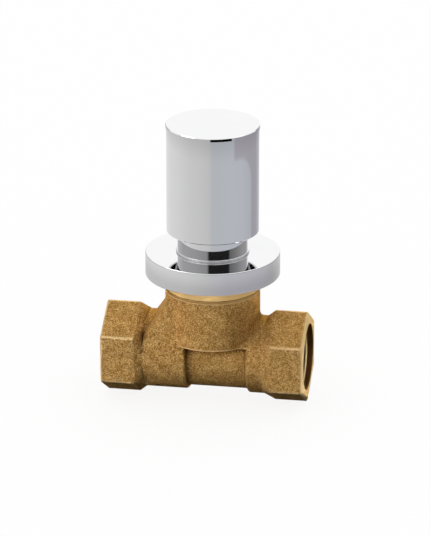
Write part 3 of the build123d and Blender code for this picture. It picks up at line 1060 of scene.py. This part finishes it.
class VALVE_OT_cast_body(Operator):
    """Give the valve body its cast skin and machined ends"""

    bl_idname = "valve.cast_body"
    bl_label = "Cast body"

    def execute(self, context):
        paint(["valve_body"], cast_brass(context.scene.valve.brass))
        return {"FINISHED"}


class VALVE_OT_headwork(Operator):
    """Give the headwork inside the valve its turned brass, steel, rubber, fibre and plastic"""

    bl_idname = "valve.headwork"
    bl_label = "Headwork"

    def execute(self, context):
        brass = context.scene.valve.brass
        paint(["bonnet", "spindle", "disc_carrier"], turned_brass(brass))
        paint(["spindle_circlip", "handle_screw", "retaining_washer", "washer_screw"], plain_steel())
        rubber = moulded("black_rubber", dark=0.012, light=0.03, roughness=0.6, grain=0.0004)
        paint(["spindle_o_ring_lower", "spindle_o_ring_upper", "seat_washer"], rubber)
        fibre = moulded(
            "fibre", dark=(0.16, 0.04, 0.02), light=(0.30, 0.09, 0.05), roughness=0.75, grain=0.0006
        )
        paint(["bonnet_gasket"], fibre)
        plastic = moulded(
            "white_plastic", dark=(0.66, 0.66, 0.62), light=(0.76, 0.76, 0.72), roughness=0.45, grain=0.001
        )
        paint(["friction_washer", "handle_insert"], plastic)
        return {"FINISHED"}


class VALVE_OT_chrome(Operator):
    """Give the handle, its cap, the sleeve and the rosette their chrome"""

    bl_idname = "valve.chrome"
    bl_label = "Chrome"

    def execute(self, context):
        settings = context.scene.valve
        chrome = polished_chrome(settings.chrome)
        paint(CHROME, chrome)
        for piece, body in (
            (turned_rosette(settings.turned), ROOT),
            (turned_sleeve(settings.turned), ROOT),
            (turned_cap(settings.turned), HANDLE),
        ):
            piece.data.materials.append(chrome)
            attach(piece, body)
            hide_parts(TURNED[piece.name])
        return {"FINISHED"}


class VALVE_OT_port_threads(Operator):
    """Cut the pipe threads' ridges in both ports"""

    bl_idname = "valve.port_threads"
    bl_label = "Port threads"

    def execute(self, context):
        settings = context.scene.valve
        brass = thread_brass(settings.brass, settings.thread)
        for name, port in zip(THREADS, (INLET_PORT, OUTLET_PORT)):
            ridge = thread_ridge(name, port, settings.thread)
            ridge.data.materials.append(brass)
        return {"FINISHED"}


def tent_tree(name):
    """Bare material for the tent: its tree, the turn from the front, that turn's ramp place, the height."""
    material, tree = bare_material(name)
    _, (x, y, z) = object_place(tree)
    turn = tree.math("ARCTAN2", x, tree.times(y, -1.0))
    around = tree.math("ADD", tree.math("DIVIDE", turn, FULL_TURN), 0.5)
    return material, tree, turn, around, z


def round_card(tree, around, tones):
    """Tones round the tent, from (degrees from the front, grey or colour) pairs."""
    return tree.ramp(around, [((degrees + 180.0) / 360.0, tone) for degrees, tone in tones])


def handle_card(tree, turn, around, z, studio):
    """What the handle's side reflects: a shaded wall with a paler arched panel in it."""
    panel = round_card(tree, around, HANDLE_PANEL_TONES)
    wall = round_card(tree, around, HANDLE_WALL_TONES)
    past_crown = tree.math("MAXIMUM", tree.math("SUBTRACT", turn, ARCH_CROWN), 0.0)
    over_spring = tree.math("MAXIMUM", tree.math("ADD", z, studio.arch_spring), 0.0)
    side = tree.math("POWER", tree.math("DIVIDE", past_crown, ARCH_FALL), 2.0)
    rise = tree.math("POWER", tree.math("DIVIDE", over_spring, studio.arch_rise), 2.0)
    outside_arch = tree.rise(tree.math("ADD", side, rise), *ARCH_EDGE)
    on_wall = tree.times(outside_arch, tree.rise(turn, *JAMB))
    return tree.scaled(tree.mix(on_wall, panel, wall), tree.rise(z, *HANDLE_SHADE))


def tent_material(studio):
    """Glow of the tent that the chrome reflects, in bands one over the other."""
    material, tree, turn, around, z = tent_tree("tent_cloth")
    rosette_card = tree.scaled(round_card(tree, around, ROSETTE_TONES), tree.rise(z, *ROSETTE_SHADE))
    cards = (
        (studio.tent_foot_top, TABLE_CARD_FULL, round_card(tree, around, TABLE_TONES)),
        (*ROSETTE_CARD_START, rosette_card),
        (*HANDLE_CARD_START, handle_card(tree, turn, around, z, studio)),
        (studio.cap_line, FRONT_CARD_FULL, round_card(tree, around, FRONT_TONES)),
        (*WHITE_START, opaque(TENT_WHITE)),
        (*LID_START, opaque(1.0)),
    )
    band = opaque(TENT_FOOT_TONE)
    for start, full, card in cards:
        band = tree.mix(tree.rise(z, start, full), band, card)
    tree.glow(band, studio.tent_glow)
    return material


def lip_glow_material(studio):
    """Glow of the band that draws the bright line along the sleeve's lip."""
    material, tree, _, around, _ = tent_tree("lip_glow")
    tree.glow(round_card(tree, around, LIP_TONES), studio.lip_glow)
    return material


def tent_wall(name, start, end, studio, material, bottom=None, top=None, inset=0.0):
    """Upright curved wall about the spindle between two angles from the front, seen only in reflections."""
    radius = studio.tent_radius - inset
    bottom = studio.tent_bottom if bottom is None else bottom
    top = studio.tent_top if top is None else top
    steps = max(2, int((end - start) / WALL_STEP))
    wall = start_point(name, (radius * math.sin(start), -radius * math.cos(start), bottom))
    bpy.ops.mesh.extrude_vertices_move(TRANSFORM_OT_translate={"value": (0, 0, top - bottom)})
    bpy.ops.mesh.select_all(action="SELECT")
    bpy.ops.mesh.spin(steps=steps, angle=start - end, center=(0, 0, 0), axis=(0, 0, 1))
    bpy.ops.object.mode_set(mode="OBJECT")
    only_in_reflections(wall, material)
    return wall


def tent_end(name, height, studio, material):
    """Round lid or base of the tent."""
    deselect_all()
    bpy.ops.mesh.primitive_circle_add(radius=studio.tent_radius, vertices=LID_CORNERS, fill_type="NGON")
    end = bpy.context.active_object
    end.name = name
    bpy.ops.object.mode_set(mode="EDIT")
    bpy.ops.transform.translate(value=(0, 0, height))
    bpy.ops.object.mode_set(mode="OBJECT")
    only_in_reflections(end, material)
    return end


def only_in_reflections(piece, material):
    """Puts a piece of the tent round the spindle and hides it from all but reflections."""
    piece.location = (SPINDLE_X, 0, 0)
    piece.data.materials.append(material)
    for ray in ("visible_camera", "visible_diffuse", "visible_transmission", "visible_shadow"):
        setattr(piece, ray, False)


def light_only(light, pieces):
    """Limits a lamp or a glowing piece to some of the valve's pieces."""
    lit = bpy.data.collections.new(light.name + "_lights")
    for piece in pieces:
        lit.objects.link(piece)
    light.light_linking.receiver_collection = lit


def area_lamp(name, azimuth, elevation, distance, size, power):
    """Soft square lamp aimed at the valve's middle."""
    data = bpy.data.lights.new(name, "AREA")
    data.shape = "SQUARE"
    # A reflected ray meets the tent before the lamp, so the lamp's light is counted without such rays.
    data.cycles.use_multiple_importance_sampling = False
    data.size = size
    data.energy = power
    lamp = bpy.data.objects.new(name, data)
    bpy.context.scene.collection.objects.link(lamp)
    aim(lamp, math.radians(azimuth), math.radians(elevation), distance, LAMP_TARGET)
    return lamp


def aim(thing, azimuth, elevation, distance, target):
    """Places a camera or lamp round a target, looking at it."""
    direction = (
        math.sin(azimuth) * math.cos(elevation),
        -math.cos(azimuth) * math.cos(elevation),
        math.sin(elevation),
    )
    thing.location = [place + distance * part for place, part in zip(target, direction)]
    thing.rotation_euler = (math.pi / 2 - elevation, 0, azimuth)


class VALVE_OT_studio(Operator):
    """Set up the floor, the reflecting tent, the lamps, the world and the camera"""

    bl_idname = "valve.studio"
    bl_label = "Studio"

    def execute(self, context):
        studio = context.scene.valve.studio
        self.make_camera(context, studio)
        self.make_floor(studio)
        self.make_tent(studio)
        self.make_lamps()
        self.make_world(context)
        context.scene.view_settings.view_transform = "Standard"
        return {"FINISHED"}

    def make_camera(self, context, studio):
        data = bpy.data.cameras.new("camera")
        data.sensor_fit = "VERTICAL"
        data.sensor_height = FILM_HEIGHT
        data.lens = studio.focal_length
        data.clip_start = NEAREST_SEEN
        camera = bpy.data.objects.new("camera", data)
        context.scene.collection.objects.link(camera)
        target = (
            SPINDLE_X + studio.aim_right * math.cos(studio.camera_azimuth),
            studio.aim_right * math.sin(studio.camera_azimuth),
            studio.aim_height,
        )
        aim(camera, studio.camera_azimuth, studio.camera_elevation, studio.camera_distance, target)
        context.scene.camera = camera

    def make_floor(self, studio):
        deselect_all()
        bpy.ops.mesh.primitive_plane_add(size=studio.floor_size, location=(SPINDLE_X, 0, BODY_LOW[2]))
        floor = bpy.context.active_object
        floor.name = "floor"
        material, tree = bare_material("floor_paper")
        paper = tree.add("ShaderNodeBsdfDiffuse", {"Color": opaque(PAPER_TONE)})
        white = tree.add("ShaderNodeEmission", {"Color": opaque(1.0), "Strength": 1.0})
        seen = tree.add("ShaderNodeLightPath").outputs["Is Camera Ray"]
        inputs = {0: tree.times(seen, PAPER_WHITENING), 1: paper.outputs[0], 2: white.outputs[0]}
        both = tree.add("ShaderNodeMixShader", inputs)
        tree.add("ShaderNodeOutputMaterial", {"Surface": both.outputs[0]})
        floor.data.materials.append(material)
        floor.visible_glossy = False
        floor.visible_shadow = False

    def make_tent(self, studio):
        cloth = tent_material(studio)
        foot_top, cap_line = studio.tent_foot_top, studio.cap_line
        tent_wall("tent_main", PANEL_END, PANEL_START + FULL_TURN, studio, cloth, bottom=foot_top)
        tent_wall("tent_panel_high", PANEL_START, PANEL_END, studio, cloth, bottom=cap_line)
        tent_end("tent_lid", studio.tent_top, studio, cloth)
        dark_to_cap = tent_wall(
            "tent_panel", PANEL_START, PANEL_END, studio, cloth, bottom=foot_top, top=cap_line
        )
        foot = tent_wall("tent_foot", 0, FULL_TURN, studio, cloth, top=foot_top)
        base = tent_end("tent_base", studio.tent_bottom, studio, cloth)
        turned = [bpy.data.objects[name] for name in TURNED]
        chrome = [*turned, *(NODES[name] for name in CHROME)]
        cap = (NODES["handle_cap"], bpy.data.objects["turned_cap"])
        pieces = [*NODES.values(), *(bpy.data.objects[name] for name in THREADS), *turned]
        light_only(dark_to_cap, [piece for piece in pieces if piece not in cap])
        light_only(foot, chrome)
        light_only(base, chrome)
        lip_band = tent_wall(
            "lip_band",
            -LIP_BAND_END,
            LIP_BAND_END,
            studio,
            lip_glow_material(studio),
            bottom=studio.lip_band_bottom,
            top=studio.lip_band_top,
            inset=LIP_BAND_INSET,
        )
        light_only(lip_band, chrome)

    def make_lamps(self):
        rest = [node for name, node in NODES.items() if name not in CHROME]
        rest += [bpy.data.objects[name] for name in THREADS]
        for lamp in LAMPS:
            light_only(area_lamp(*lamp), rest)

    def make_world(self, context):
        world = bpy.data.worlds.new("world")
        context.scene.world = world
        world.use_nodes = True
        world.node_tree.nodes.clear()
        tree = NodeTree(world.node_tree)
        rays = tree.add("ShaderNodeLightPath").outputs
        seen = tree.math("MAXIMUM", rays["Is Camera Ray"], rays["Is Glossy Ray"])
        seen = tree.math("MAXIMUM", seen, rays["Is Transmission Ray"])
        colour = tree.mix(seen, opaque(SKY_TONE), opaque(1.0))
        sky = tree.add("ShaderNodeBackground", {"Color": colour, "Strength": 1.0})
        tree.add("ShaderNodeOutputWorld", {"Surface": sky.outputs[0]})


class VALVE_PT_finish(Panel):
    """The valve's finish, one row for each group of pieces"""

    bl_label = "Valve"
    bl_idname = "VALVE_PT_finish"
    bl_space_type = "VIEW_3D"
    bl_region_type = "UI"
    bl_category = "Valve"

    def draw(self, context):
        for operator in OPERATORS:
            self.layout.operator(operator.bl_idname)


GROUPS = (BrassFinish, ChromeFinish, TurnedSizes, ThreadSizes, StudioSizes, ValveSettings)
OPERATORS = (
    VALVE_OT_cast_body,
    VALVE_OT_headwork,
    VALVE_OT_chrome,
    VALVE_OT_port_threads,
    VALVE_OT_studio,
)


def register():
    for cls in (*GROUPS, *OPERATORS, VALVE_PT_finish):
        bpy.utils.register_class(cls)
    bpy.types.Scene.valve = PointerProperty(type=ValveSettings)


def unregister():
    del bpy.types.Scene.valve
    for cls in reversed((*GROUPS, *OPERATORS, VALVE_PT_finish)):
        bpy.utils.unregister_class(cls)


def main():
    register()
    bpy.ops.valve.cast_body()
    bpy.ops.valve.headwork()
    bpy.ops.valve.chrome()
    bpy.ops.valve.port_threads()
    bpy.ops.valve.studio()


if __name__ == "__main__":
    main()
